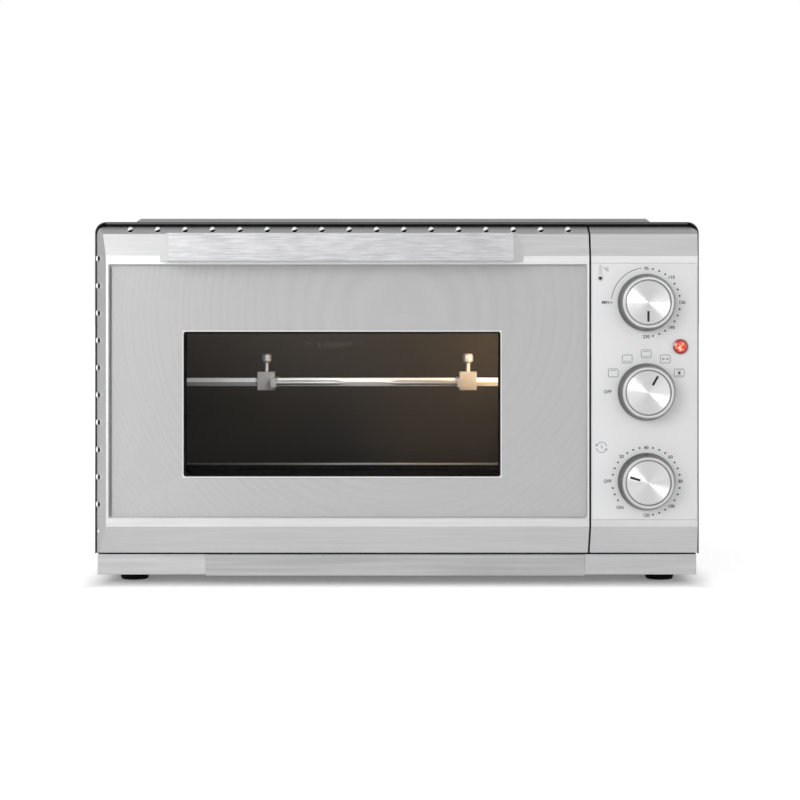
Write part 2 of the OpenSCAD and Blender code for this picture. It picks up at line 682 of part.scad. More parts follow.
// Mains terminals, and the bush that the cord comes in through
module terminal_block() color([0.92, 0.92, 0.9])
    difference() {
        box([gland.x - 18, y_back - 60, foot_h + sheet_t], [gland.x + 18, y_back - 40, foot_h + 19]);
        for (k = [-1:1]) bar_z([gland.x + k * 11, y_back - 50, foot_h + 10], 2.5, 12);
    }
module cord_gland() color([0.1, 0.1, 0.1])
    difference() {
        union() {
            bar_y([gland.x, y_back - 6, gland.y], gland_r, 12);
            bar_y([gland.x, y_back, gland.y], gland_r + 2.5, 3);
            bar_y([gland.x, y_back - 5, gland.y], gland_r + 1.5, 5 - sheet_t);
        }
        bar_y([gland.x, y_back - 7, gland.y], gland_bore_r, 14);
    }

// ---- Door

// Places of the vents along the top and down the left edge of the door
vent_top = [
    for (k = [0:floor((x_door1 - x_door0 - 42) / vent_pitch)])
        [x_door0 + 28 + k * vent_pitch, z_door1 - 2.8]
];
vent_left = [
    for (k = [0:floor((z_door1 - z_door0 - 63) / vent_pitch)])
        [x_door0 + 1.5, z_door1 - 25.7 - k * vent_pitch]
];
lug_places = [
    for (x = [x_door0 + 40, x_door1 - 40], z = [z_door0 + 11, z_door1 - 13]) [x, z]
];

// Pressed frame with bevelled edges, the glass's rebate, screw lugs and the hinge lugs
module door_frame() color([0.8, 0.8, 0.8])
    difference() {
        union() {
            difference() {
                door_shape();
                door_shape(frame_t);
                slab_y(y_front - 1, y_front + 9) rounded(glass_lo, glass_hi);
            }
            // rebate wall and lip behind the glass
            slab_y(y_front + 0.5, y_lip + frame_t) difference() {
                rounded(glass_lo - [frame_t, frame_t], glass_hi + [frame_t, frame_t]);
                rounded(glass_lo, glass_hi);
            }
            slab_y(y_lip, y_lip + frame_t) difference() {
                rounded(glass_lo - [frame_t, frame_t], glass_hi + [frame_t, frame_t]);
                rounded(glass_lo + [lip_w, lip_w], glass_hi - [lip_w, lip_w]);
            }
            intersection() {
                door_shape(frame_t / 2);
                union() {
                    for (p = lug_places)
                        box([p.x - 5, y_inner_panel - 12, p.y - 6.5], [p.x + 5, y_inner_panel, p.y + 6.5]);
                    for (x = handle_screw_x)
                        box([x - 5, y_front, handle_screw_z - 6], [x + 5, handle_boss_y, handle_screw_z + 6]);
                    for (x = bracket_x, s = [-1, 1]) hinge_lug(x + s * (notch_half + lug_t / 2));
                }
            }
        }
        for (p = concat(vent_top, vent_left)) bar_y([p.x, y_front + high_bevel.x, p.y], vent_d / 2, door_t);
        for (x = bracket_x) {
            bar_x([x - 12, y_hinge, z_hinge], pin_r, 24);
            box([x - notch_half, y_hinge - plate_low - 0.9, z_door0 - 1],
                [x + notch_half, y_face + 1, z_door0 + 4]);
        }
        for (p = lug_places) bar_y([p.x, y_inner_panel - 10, p.y], screw_r + run_clear, 11);
        for (x = handle_screw_x) bar_y([x, y_front - 1, handle_screw_z], screw_r + screw_clear, 16);
    }

// Lug beside a hinge bracket, which stands on the frame's foot and holds one end of a pin
module hinge_lug(x)
    slab_x(x - lug_t / 2, x + lug_t / 2) {
        translate([y_hinge, z_hinge]) circle(ear_r);
        translate([y_hinge - ear_r, z_door0]) square([2 * ear_r, z_hinge - z_door0]);
    }

module door_glass() color([0.8, 0.83, 0.84, 0.4])
    slab_y(y_front, y_mask)
        rounded(glass_lo + [glass_gap, glass_gap], glass_hi - [glass_gap, glass_gap], [1.5, 1.5, 1.5, 1.5]);

// Silver enamel on the glass's back, left clear at the window
module glass_mask() color([0.78, 0.78, 0.79])
    slab_y(y_mask, y_lip) difference() {
        rounded(glass_lo + [glass_gap, glass_gap], glass_hi - [glass_gap, glass_gap], [1.5, 1.5, 1.5, 1.5]);
        rounded(window_lo, window_hi, [window_r, window_r, window_r, window_r]);
    }

// Black frame that keeps the two glasses apart
module window_spacer() color([0.05, 0.05, 0.05])
    slab_y(y_lip, y_inner_glass) difference() {
        rounded(window_lo - [spacer_w, spacer_w], window_hi + [spacer_w, spacer_w]);
        rounded(window_lo + [1.5, 1.5], window_hi - [1.5, 1.5]);
    }
module inner_glass() color([0.85, 0.88, 0.86, 0.35])
    slab_y(y_inner_glass, y_inner_glass + inner_glass_t)
        rounded(window_lo - [9, 9], window_hi + [9, 9], [3, 3, 3, 3]);

// Sheet that closes the door's back, with a turned frame that presses on the inner glass
module door_inner_panel() color([0.62, 0.62, 0.62])
    difference() {
        union() {
            slab_y(y_inner_panel, y_inner_panel + sheet_t) difference() {
                rounded([x_door0 + 4, z_door0 + 2], [x_door1 - 1.5, z_door1 - 5.2], [0, 0, 0, front_r]);
                rounded(window_lo - [inner_over, inner_over], window_hi + [inner_over, inner_over]);
            }
            slab_y(y_inner_glass + inner_glass_t, y_inner_panel + sheet_t) difference() {
                rounded(window_lo - [7, 7], window_hi + [7, 7]);
                rounded(window_lo - [inner_over, inner_over], window_hi + [inner_over, inner_over]);
            }
        }
        for (p = lug_places) bar_y([p.x, y_inner_panel - 1, p.y], screw_r + screw_clear, 3);
        for (x = bracket_x)
            box([x - 13, y_inner_panel - 1, z_door0], [x + 13, y_face + 1, z_hinge + ear_r + 3]);
    }
module door_screws() color([0.5, 0.5, 0.5])
    for (p = lug_places) {
        bar_y([p.x, y_inner_panel - 8, p.y], screw_r, 8 + sheet_t);
        bar_y([p.x, y_inner_panel + sheet_t, p.y], 3.4, 0.8);
    }

// Scoop handle: front plate, bottom web and two flared ends, open at the top
module door_handle() color([0.78, 0.78, 0.78]) {
    y = y_front - handle_out;
    bevel = high_bevel.x / (high_bevel.y - strip_h);
    difference() {
        intersection() {
            slab_x(handle_x0 - 20, handle_x1 + 20)
                polygon([[y, handle_z0], [y_front, handle_z0], [y_front, z_flat1],
                         [y_front + bevel * (handle_z1 - z_flat1), handle_z1], [y, handle_z1]]);
            slab_y(y - 1, y_face)
                polygon([[handle_x0 - flare_low, handle_z0], [handle_x1 + flare_low, handle_z0],
                         [handle_x1 + flare_low, z_flat1], [handle_x1 + flare_high, handle_z1],
                         [handle_x0 - flare_high, handle_z1], [handle_x0 - flare_low, z_flat1]]);
            slab_z(handle_z0 - 1, handle_z1 + 1)
                polygon([[handle_x0, y], [handle_x1, y], [handle_x1 + flare_low, y_front],
                         [handle_x1 + flare_low, y_face], [handle_x0 - flare_low, y_face],
                         [handle_x0 - flare_low, y_front]]);
        }
        box([handle_x0 + handle_t, y + handle_t, handle_z0 + handle_t],
            [handle_x1 - handle_t, y_face, handle_z1 + 1]);
        for (x = handle_screw_x) bar_y([x, y_front - 9, handle_screw_z], screw_r + run_clear, 20);
    }
}
module handle_screws() color([0.5, 0.5, 0.5])
    for (x = handle_screw_x) {
        bar_y([x, y_front - 8, handle_screw_z], screw_r, handle_boss_y - y_front + 8);
        bar_y([x, handle_boss_y, handle_screw_z], 3.4, 1.6);
    }

// Hinge: plates on the bulkhead, pins in the door's lugs and return springs beside them
module hinge_brackets() color([0.6, 0.6, 0.6])
    for (x = bracket_x)
        difference() {
            union() {
                slab_x(x - bracket_t / 2, x + bracket_t / 2) {
                    translate([y_hinge, z_hinge]) circle(ear_r - 0.5);
                    polygon([[y_hinge, z_hinge - plate_low], [y_pocket, z_hinge - plate_low],
                             [y_pocket, z_rail - 0.5], [y_hinge, z_rail - 0.5]]);
                }
                box([x - 8, y_pocket - 1.5, z_hinge - 12], [x + 8, y_pocket, z_rail - 0.5]);
            }
            bar_x([x - bracket_t, y_hinge, z_hinge], pin_r + run_clear, 2 * bracket_t);
        }
module hinge_pins() color([0.7, 0.7, 0.7])
    for (k = [0, 1]) bar_x([bracket_x[k] - (k == 0 ? 6 : 13), y_hinge, z_hinge], pin_r, 19);
module hinge_springs() color([0.35, 0.35, 0.36])
    for (k = [0, 1]) {
        wire = 0.6;
        coil_r = pin_r + 1.1;
        start = bracket_x[k] + (k == 0 ? 4.5 : -4.5 - spring_turns + 1);
        translate([start, y_hinge, z_hinge]) rotate([0, 90, 0]) rotate_extrude() {
            for (t = [0:spring_turns - 1]) translate([coil_r, t]) circle(wire, $fn = 24);
            translate([coil_r - wire / 2, 0]) square([wire, spring_turns - 1]);
        }
        bar_z([start, y_hinge - coil_r, z_hinge], wire - 0.1, 14);
        bar_z([start + spring_turns - 1, y_hinge + coil_r, z_hinge - 10], wire - 0.1, 10);
    }

// ---- Dials

// Knob k, turned to its pointer's place: a tapered grip, a spun cap with a pointer slot, a shaft
module at_dial(k) translate([x_dial, y_front, z_dial[k]]) rotate([90, 0, 0]) children();
module knob(k)
    color([0.7, 0.7, 0.7]) at_dial(k) {
        difference() {
            rotate_extrude()
                polygon([[0, knob_gap], [knob_r, knob_gap], [knob_r, knob_gap + 2],
                         [rim_r, knob_h - 0.8], [rim_r - 0.8, knob_h], [seat_r, knob_h],
                         [seat_r, knob_h - cap_t - 0.9], [0, knob_h - cap_t - 0.9]]);
            difference() {
                translate([0, 0, knob_gap - 1]) cylinder(r = rim_r - 3, h = knob_h - cap_t - 3.5);
                cylinder(r = shaft_r + 2.5, h = knob_h);
            }
            cylinder(r = shaft_r + run_clear, h = knob_h - cap_t - 3);
        }
    }
module cap(k)
    color([0.85, 0.85, 0.85]) at_dial(k) difference() {
        translate([0, 0, knob_h - cap_t - 0.9]) cylinder(r = cap_r, h = cap_t);
        rotate(-pointer_deg[k])
            box([-0.9, cap_r * 0.38, knob_h - 1.2], [0.9, cap_r * 0.86, knob_h]);
    }
module shaft(k)
    color([0.65, 0.65, 0.65]) at_dial(k)
        translate([0, 0, y_front - y_bracket - shaft_in + 3])
            cylinder(r = shaft_r, h = y_bracket + shaft_in - 3 - y_front + knob_h - cap_t - 4);

module thermostat_knob() knob(0);
module thermostat_cap() cap(0);
module thermostat_shaft() shaft(0);
module function_knob() knob(1);
module function_cap() cap(1);
module function_shaft() shaft(1);
module timer_knob() knob(2);
module timer_cap() cap(2);
module timer_shaft() shaft(2);

// ---- Crumb tray: a shallow pan behind a flat front that covers its way in
module crumb_tray() color([0.74, 0.74, 0.74]) {
    lo = [crumb_x[0] + crumb_in, y_case - 0.5, foot_h + sheet_t + slide_clear];
    hi = [crumb_x[1] - crumb_in, crumb_y1, z_sill - 5];
    y = y_case + 0.5 - slide_clear;
    box([crumb_x[0], y - lip_t, crumb_z[0]], [crumb_x[1], y, crumb_z[1]]);
    difference() {
        box(lo, hi);
        box(lo + [sheet_t, sheet_t, sheet_t], hi + [-sheet_t, -sheet_t, 1]);
    }
}

// ---- Spit

// Socket with a square hole in front and its shaft in the gearbox
module drive_socket() color([0.6, 0.6, 0.6])
    difference() {
        union() {
            bar_x([cav_hi.x - wheel_in, y_spit, z_spit], socket_r, wheel_in + sheet_t - 0.3);
            bar_x([cav_hi.x, y_spit, z_spit], 4, drive_l - 3);
        }
        half = spit_s / 2 + slide_clear;
        box([cav_hi.x - wheel_in - 1, y_spit - half, z_spit - half],
            [cav_hi.x - 1, y_spit + half, z_spit + half]);
    }

// Square rod with a round neck at the left end
module spit_rod() color([0.75, 0.75, 0.75]) {
    h = spit_s / 2;
    box([cav_lo.x + 8, y_spit - h, z_spit - h], [cav_hi.x - 1.5, y_spit + h, z_spit + h]);
    bar_x([cav_lo.x + 2.5, y_spit, z_spit], neck_r, 6);
}

// A fork whose block starts at x and whose prongs point towards s; a screw clamps it on the rod
fork_w = 15;
fork_x = [x_door0 + 118, x_door1 - 97.5];
module fork(x, s) color([0.72, 0.72, 0.72]) {
    half = spit_s / 2 + slide_clear;
    bar = s > 0 ? x + fork_w : x;
    difference() {
        union() {
            box([x, y_spit - 7, z_spit - 7], [x + fork_w, y_spit + 7, z_spit + 9]);
            box([bar - 2.5, y_spit - prong_gap / 2 - 2, z_spit - 4],
                [bar + 2.5, y_spit + prong_gap / 2 + 2, z_spit + 4]);
            for (y = [y_spit - prong_gap / 2, y_spit + prong_gap / 2]) {
                bar_x([s > 0 ? bar : bar - prong_l, y, z_spit], 2, prong_l);
                translate([bar + s * prong_l, y, z_spit]) rotate([0, s * 90, 0])
                    cylinder(r1 = 2, r2 = 0.3, h = 9);
            }
        }
        box([x - 9, y_spit - half, z_spit - half], [x + fork_w + 9, y_spit + half, z_spit + half]);
        bar_z([x + fork_w / 2, y_spit, z_spit], 2 + run_clear, 12);
    }
}
module fork_screw(x) color([0.8, 0.8, 0.8]) {
    bar_z([x + fork_w / 2, y_spit, z_spit + spit_s / 2 + 0.3], 2, 16);
    r = 4.5;
    edge = 1.4;
    translate([x + fork_w / 2, y_spit, z_spit + 17]) rotate_extrude()
        polygon([[0, 0], [r - edge, 0], [r, edge], [r, 8 - edge], [r - edge, 8], [0, 8]]);
}
module left_fork() fork(fork_x[0], 1);
module left_fork_screw() fork_screw(fork_x[0]);
module right_fork() fork(fork_x[1], -1);
module right_fork_screw() fork_screw(fork_x[1]);

outer_shell();
base_pan();
rear_panel();
front_frame();
oven_cavity();
heat_shield();
tray_runners();
drip_tray();
upper_elements();
lower_elements();
element_insulators();
spit_support();
spit_gearbox();
spit_motor();
lamp_housing();
lamp_bulb();
lamp_cover();
control_fascia();
control_overlay();
control_bracket();
thermostat_unit();
function_switch();
timer_unit();
timer_bell();
indicator_lens();
indicator_holder();
terminal_block();
cord_gland();
hinge_brackets();
feet();
foot_screws();
casing_screws();
rear_spacers();
door_frame();
door_glass();
glass_mask();
window_spacer();
inner_glass();
door_inner_panel();
door_screws();
door_handle();
handle_screws();
hinge_pins();
hinge_springs();
thermostat_knob();
thermostat_cap();
thermostat_shaft();
function_knob();
function_cap();
function_shaft();
timer_knob();
timer_cap();
timer_shaft();
crumb_tray();
drive_socket();
spit_rod();
left_fork();
left_fork_screw();
right_fork();
right_fork_screw();
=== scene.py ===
import math

import bmesh
import bpy
from mathutils import Matrix, Vector


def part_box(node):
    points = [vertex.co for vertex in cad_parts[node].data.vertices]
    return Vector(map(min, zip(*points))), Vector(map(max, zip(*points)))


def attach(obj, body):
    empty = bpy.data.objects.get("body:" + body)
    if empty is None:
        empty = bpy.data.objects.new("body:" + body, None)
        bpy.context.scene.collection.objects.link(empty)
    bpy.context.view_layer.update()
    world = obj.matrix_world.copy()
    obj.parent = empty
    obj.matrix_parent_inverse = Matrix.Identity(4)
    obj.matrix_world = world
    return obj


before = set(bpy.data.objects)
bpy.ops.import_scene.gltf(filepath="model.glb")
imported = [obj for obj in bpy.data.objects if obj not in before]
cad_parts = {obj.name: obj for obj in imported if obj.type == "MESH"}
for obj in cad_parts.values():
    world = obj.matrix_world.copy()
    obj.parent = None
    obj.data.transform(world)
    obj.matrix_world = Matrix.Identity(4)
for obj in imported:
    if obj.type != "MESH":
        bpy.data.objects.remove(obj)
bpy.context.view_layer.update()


# ---- Studio: a pale floor that runs on into white, an even wrap of light that is brightest behind
# the camera and darker overhead and behind the oven, and one large round soft lamp at the upper left.
class Wire:
    """An output in a node tree. Arithmetic on it adds the Math nodes."""

    def __init__(self, tree, socket=None):
        self.tree, self.socket = tree, socket

    def make(self, kind, settings=None, inputs=None, out=0):
        """Any other node: its type, its settings, then the values or links of its sockets."""
        node = self.tree.nodes.new(kind)
        for name, value in (settings or {}).items():
            if name == "stops":
                ramp = node.color_ramp.elements
                for stop, (place, shade) in ((ramp[0], value[0]), (ramp[1], value[-1])):
                    stop.position, stop.color = place, (*shade, 1)
                for place, shade in value[1:-1]:
                    ramp.new(place).color = (*shade, 1)
            else:
                setattr(node, name, value)
        for name, value in (inputs or {}).items():
            socket = node.inputs[name]
            if isinstance(value, Wire):
                self.tree.links.new(value.socket, socket)
            elif socket.type == "RGBA" and len(value) == 3:
                socket.default_value = (*value, 1)
            else:
                socket.default_value = value
        return Wire(self.tree, node.outputs[out] if node.outputs else None)

    def math(self, operation, *values):
        return self.make("ShaderNodeMath", {"operation": operation}, dict(enumerate(values)))

    def vector(self, operation, first, second=(0, 0, 0), out=0):
        return self.make("ShaderNodeVectorMath", {"operation": operation}, {0: first, 1: second}, out)

    def blend(self, first, second):
        """Colour between two, with this wire as the share of the second."""
        return self.make("ShaderNodeMix", {"data_type": "RGBA"}, {0: self, 6: first, 7: second}, 2)

    def between(self, low, high):
        """0 up to low, 1 from high on, and a soft rise between them."""
        return self.make("ShaderNodeMapRange", {"interpolation_type": "SMOOTHSTEP"},
                         {"Value": self, "From Min": low, "From Max": high})

    def split(self):
        return [self.make("ShaderNodeSeparateXYZ", {}, {0: self}, k) for k in range(3)]

    def __add__(self, other): return self.math("ADD", self, other)
    def __radd__(self, other): return self.math("ADD", other, self)
    def __sub__(self, other): return self.math("SUBTRACT", self, other)
    def __rsub__(self, other): return self.math("SUBTRACT", other, self)
    def __mul__(self, other): return self.math("MULTIPLY", self, other)
    def __rmul__(self, other): return self.math("MULTIPLY", other, self)
    def __truediv__(self, other): return self.math("DIVIDE", self, other)
    def __abs__(self): return self.math("ABSOLUTE", self)


scene = bpy.context.scene
scene.view_settings.view_transform = "Standard"

lens = bpy.data.cameras.new("camera")
lens.lens = 85.2
lens.sensor_width = 36
lens.shift_y = -0.11
lens.clip_start = 0.01
camera = bpy.data.objects.new("camera", lens)
camera.location = (0.0025, -1.674, 0.2187)
camera.rotation_euler = (math.radians(90), 0, 0)
scene.collection.objects.link(camera)
scene.camera = camera

world = bpy.data.worlds.new("studio")
world.use_nodes = True
world.node_tree.nodes.clear()
scene.world = world
sky = Wire(world.node_tree)
heading = sky.make("ShaderNodeTexCoord", out="Generated").split()
ahead = (-1 * heading[1]).between(-0.5, 0.75)
overhead = heading[2].between(0.1, 0.62)
wrap = (0.46 + 0.73 * ahead) * (1 - (0.16 + 0.36 * ahead) * overhead)
seen = sky.make("ShaderNodeLightPath", out="Is Camera Ray")
level = seen + (1 - seen) * wrap
sky.make("ShaderNodeOutputWorld", {}, {
    "Surface": sky.make("ShaderNodeBackground", {}, {"Color": (1, 1, 1), "Strength": level})})


def softbox(name, place, aim, size, power, tint=(1, 1, 1)):
    lamp = bpy.data.lights.new(name, "AREA")
    lamp.shape, lamp.size, lamp.energy, lamp.color = "DISK", size, power, tint
    holder = bpy.data.objects.new(name, lamp)
    holder.location = place
    holder.rotation_euler = (Vector(aim) - Vector(place)).to_track_quat("-Z", "Y").to_euler()
    scene.collection.objects.link(holder)


softbox("key_lamp", (-1.15, -2.0, 0.88), (0.1, -0.15, 0.15), 1.3, 15)


def start_finish(name):
    material = bpy.data.materials.new(name)
    material.use_nodes = True
    material.node_tree.nodes.clear()
    return material, Wire(material.node_tree)


def close_finish(material, start, sockets):
    shader = start.make("ShaderNodeBsdfPrincipled", {}, sockets)
    start.make("ShaderNodeOutputMaterial", {}, {"Surface": shader})
    return material


def pale_floor():
    material, start = start_finish("pale_floor")
    place = start.make("ShaderNodeTexCoord", out="Object")
    cloud = start.make("ShaderNodeTexNoise", {}, {"Vector": place, "Scale": 1.5, "Detail": 2})
    seen = start.make("ShaderNodeLightPath", out="Is Camera Ray")
    away = start.vector("LENGTH", place, out=1).between(0.35, 1.6)
    x, y, z = place.split()
    # Painted shadow: the floor's glow is dimmed close round the plinth's footprint, standing in for the oven's
    # contact shadow.
    outside_painted_shadow = start.math("MAXIMUM", abs(x) - 0.236, abs(y) - 0.158).between(-0.008, 0.03)
    glow = seen * (0.62 + 0.3 * away) * (0.22 + 0.78 * outside_painted_shadow) + (1 - seen) * 0.06
    return close_finish(material, start, {
        "Base Color": cloud.blend((0.86, 0.86, 0.86), (0.88, 0.88, 0.88)), "Roughness": 0.7,
        "Specular IOR Level": 0.1,
        "Emission Color": glow.blend((0, 0, 0), (1, 1, 1)), "Emission Strength": 1})


sheet = bmesh.new()
bmesh.ops.create_grid(sheet, x_segments=8, y_segments=8, size=30)
floor_mesh = bpy.data.meshes.new("floor")
sheet.to_mesh(floor_mesh)
sheet.free()
floor = bpy.data.objects.new("floor", floor_mesh)
scene.collection.objects.link(floor)
floor_mesh.materials.append(pale_floor())


# ---- Casing: one sheet of steel wrapped over the top and both sides, with a satin grey finish and
# a raised field pressed into its top. It is screwed to the rear panel and stands on the folded pan.
def dress(names, material):
    for name in names:
        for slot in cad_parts[name].material_slots:
            slot.material = material


def brushed_steel(name, dark, light, length, pitch, rough, edge=0.0004, tooth=0.15):
    """Steel sheet brushed along X: streaks of that length and pitch, and edges broken by hand."""
    material, start = start_finish(name)
    place = start.make("ShaderNodeTexCoord", out="Object")
    lay = start.vector("MULTIPLY", place, (1 / length, 1 / pitch, 1 / pitch))
    streak = start.make("ShaderNodeTexNoise", {}, {"Vector": lay, "Scale": 1, "Detail": 4})
    cloud = start.make("ShaderNodeTexNoise", {}, {"Vector": place, "Scale": 11, "Detail": 2})
    share = (streak * 1.5 + cloud * 0.5 - 0.5).between(0.1, 0.9)
    relief = start.make("ShaderNodeBump", {}, {
        "Strength": tooth, "Distance": 0.00008, "Height": streak,
        "Normal": start.make("ShaderNodeBevel", {"samples": 4}, {"Radius": edge})})
    return close_finish(material, start, {
        "Base Color": share.blend(dark, light), "Metallic": 1,
        "Roughness": rough + 0.14 * (streak - 0.5), "Normal": relief})


def satin_coat(name, dark, light, rough, metal, grain=700, edge=0.0004):
    """A sprayed or plated coat: fine even grain and a faint cloud of tone."""
    material, start = start_finish(name)
    place = start.make("ShaderNodeTexCoord", out="Object")
    pore = start.make("ShaderNodeTexNoise", {}, {"Vector": place, "Scale": grain, "Detail": 2})
    cloud = start.make("ShaderNodeTexNoise", {}, {"Vector": place, "Scale": 14, "Detail": 3})
    relief = start.make("ShaderNodeBump", {}, {
        "Strength": 0.2, "Distance": 0.00005, "Height": pore,
        "Normal": start.make("ShaderNodeBevel", {"samples": 4}, {"Radius": edge})})
    return close_finish(material, start, {
        "Base Color": (cloud * 0.7 + pore * 0.3).between(0.3, 0.7).blend(dark, light),
        "Metallic": metal, "Roughness": rough + 0.12 * (cloud - 0.5), "Normal": relief})


casing_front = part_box("outer_shell")[0].y


def casing_grey():
    """The coat on the casing, coloured near black along its cut edge behind the door as painted shade in the
    seam.
    """
    material, start = start_finish("casing_grey")
    place = start.make("ShaderNodeTexCoord", out="Object")
    pore = start.make("ShaderNodeTexNoise", {}, {"Vector": place, "Scale": 700, "Detail": 2})
    cloud = start.make("ShaderNodeTexNoise", {}, {"Vector": place, "Scale": 14, "Detail": 3})
    coat = (cloud * 0.7 + pore * 0.3).between(0.3, 0.7).blend((0.4, 0.4, 0.404), (0.47, 0.47, 0.474))
    # Painted shade: the casing's front edge, within about a millimetre, is darkened so the seam round the door
    # reads as shadow.
    clear_of_painted_seam_shade = place.split()[1].between(casing_front + 0.0004, casing_front + 0.0012)
    relief = start.make("ShaderNodeBump", {}, {
        "Strength": 0.2, "Distance": 0.00005, "Height": pore,
        "Normal": start.make("ShaderNodeBevel", {"samples": 4}, {"Radius": 0.0003})})
    return close_finish(material, start, {
        "Base Color": clear_of_painted_seam_shade.blend((0.1, 0.1, 0.102), coat),
        "Metallic": 0.55, "Roughness": 0.5 + 0.1 * (cloud - 0.5), "Normal": relief})


dress(["outer_shell"], casing_grey())
dress(["base_pan"], brushed_steel(
    "plinth_steel", (0.60, 0.60, 0.605), (0.72, 0.72, 0.725), 0.09, 0.004, 0.36))


# ---- Crumb tray: a shallow folded steel pan behind a flat brushed front, whose edges are rolled.
# It slides out of the plinth under the door.
dress(["crumb_tray"], brushed_steel(
    "crumb_front", (0.52, 0.52, 0.525), (0.63, 0.63, 0.635), 0.11, 0.003, 0.36, edge=0.0012))


# ---- Feet: four moulded rubber pads, each held by a screw from below, and two plastic blocks that
# keep the oven off the wall.
def moulded(name, colour, lift, rough, gloss=0.5, grain=900):
    material, start = start_finish(name)
    place = start.make("ShaderNodeTexCoord", out="Object")
    pebble = start.make("ShaderNodeTexVoronoi", {}, {"Vector": place, "Scale": grain})
    dust = start.make("ShaderNodeTexNoise", {}, {"Vector": place, "Scale": 60, "Detail": 4})
    relief = start.make("ShaderNodeBump", {}, {
        "Strength": 0.25, "Distance": 0.00008, "Height": pebble,
        "Normal": start.make("ShaderNodeBevel", {"samples": 4}, {"Radius": 0.0005})})
    return close_finish(material, start, {
        "Base Color": dust.between(0.35, 0.75).blend(colour, [c + lift for c in colour]),
        "Specular IOR Level": gloss, "Roughness": rough + 0.15 * (dust - 0.5), "Normal": relief})


dress(["feet"], moulded("foot_rubber", (0.003, 0.003, 0.003), 0.004, 0.7, 0.12))
dress(["rear_spacers", "cord_gland", "indicator_holder", "function_switch"],
      moulded("black_plastic", (0.02, 0.02, 0.021), 0.02, 0.45))


# ---- Front bulkhead, rear panel and the sheets inside: steel cut and folded, then screwed or spot
# welded together, galvanised with its spangle. The bulkhead is coloured black here as painted shade for the gaps
# round the door.
def galvanised():
    material, start = start_finish("galvanised")
    place = start.make("ShaderNodeTexCoord", out="Object")
    spangle = start.make("ShaderNodeTexVoronoi", {}, {"Vector": place, "Scale": 130}, "Color").split()[0]
    cloud = start.make("ShaderNodeTexNoise", {}, {"Vector": place, "Scale": 20, "Detail": 3})
    return close_finish(material, start, {
        "Base Color": (spangle * 0.7 + cloud * 0.3).blend((0.44, 0.45, 0.46), (0.62, 0.63, 0.64)),
        "Metallic": 1, "Roughness": 0.34 + 0.16 * spangle,
        "Normal": start.make("ShaderNodeBevel", {"samples": 4}, {"Radius": 0.0004})})


# Painted shade: the galvanised bulkhead is coloured black so the gaps round the door read as shadow.
dress(["front_frame"], moulded("bulkhead_painted_shade", (0.003, 0.003, 0.003), 0.003, 0.8, 0.1))
dress(["rear_panel", "heat_shield", "control_bracket", "lamp_housing", "hinge_brackets",
       "door_inner_panel"], galvanised())


# ---- Door: a pressed frame of brushed steel with bevelled edges. Its flat rim stands round the
# glass, and a row of pressed vents runs along the top edge and down the left one.
frame_steel = brushed_steel(
    "door_steel", (0.82, 0.82, 0.825), (0.89, 0.89, 0.895), 0.07, 0.0014, 0.32, tooth=0.08)
dress(["door_frame"], frame_steel)


def piece(name, shape, material, body):
    """A finished mesh as a piece that moves with a body."""
    mesh = bpy.data.meshes.new(name)
    bmesh.ops.recalc_face_normals(shape, faces=shape.faces)
    shape.to_mesh(mesh)
    shape.free()
    mesh.materials.append(material)
    made = bpy.data.objects.new(name, mesh)
    scene.collection.objects.link(made)
    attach(made, body)
    return made


door_low, door_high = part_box("door_frame")
vent_r = 0.0023
vent_pitch = 0.02185
vent_mouth = 0.12  # how far past its middle a hood reaches on its open side, as a share of its radius


def vent_hood(shape, middle, towards):
    """Half a dish pushed out of the sheet. It is open on the side that towards points to."""
    before = set(shape.verts)
    bmesh.ops.create_uvsphere(shape, u_segments=28, v_segments=18, radius=vent_r,
                              matrix=Matrix.Translation(middle))
    new = [v for v in shape.verts if v not in before]
    geometry = new + [e for e in shape.edges if e.verts[0] in new] + \
        [f for f in shape.faces if f.verts[0] in new]
    mouth = Vector(middle) + Vector(towards) * vent_r * vent_mouth
    cut = bmesh.ops.bisect_plane(shape, geom=geometry, plane_co=mouth, plane_no=Vector(towards), clear_outer=True)
    rest = [g for g in cut["geom"] if g.is_valid]
    bmesh.ops.bisect_plane(shape, geom=rest, plane_co=Vector(middle) + Vector((0, 0.0006, 0)),
                           plane_no=(0, 1, 0), clear_outer=True)


hoods = bmesh.new()
for k in range(int((door_high.x - door_low.x - 0.042) / vent_pitch) + 1):
    vent_hood(hoods, (door_low.x + 0.028 + k * vent_pitch, -0.1604, door_high.z - 0.0028), (0.3, 0, -0.954))
for k in range(int((door_high.z - door_low.z - 0.063) / vent_pitch) + 1):
    vent_hood(hoods, (door_low.x + 0.0015, -0.1574, door_high.z - 0.0257 - k * vent_pitch), (1, 0, 0))
edge = hoods.verts[:] + hoods.edges[:] + hoods.faces[:]
bmesh.ops.bisect_plane(hoods, geom=edge, plane_co=(door_low.x + 0.0001, 0, 0),
                       plane_no=(-1, 0, 0), clear_outer=True)
for face in hoods.faces:
    face.smooth = True
hood_steel = satin_coat("vent_steel", (0.93, 0.93, 0.93), (0.98, 0.98, 0.98), 0.4, 0.1)
hood_piece = piece("vent_hoods", hoods, hood_steel, "door")
thickness = hood_piece.modifiers.new("sheet", "SOLIDIFY")
thickness.thickness, thickness.offset = 0.0002, -1


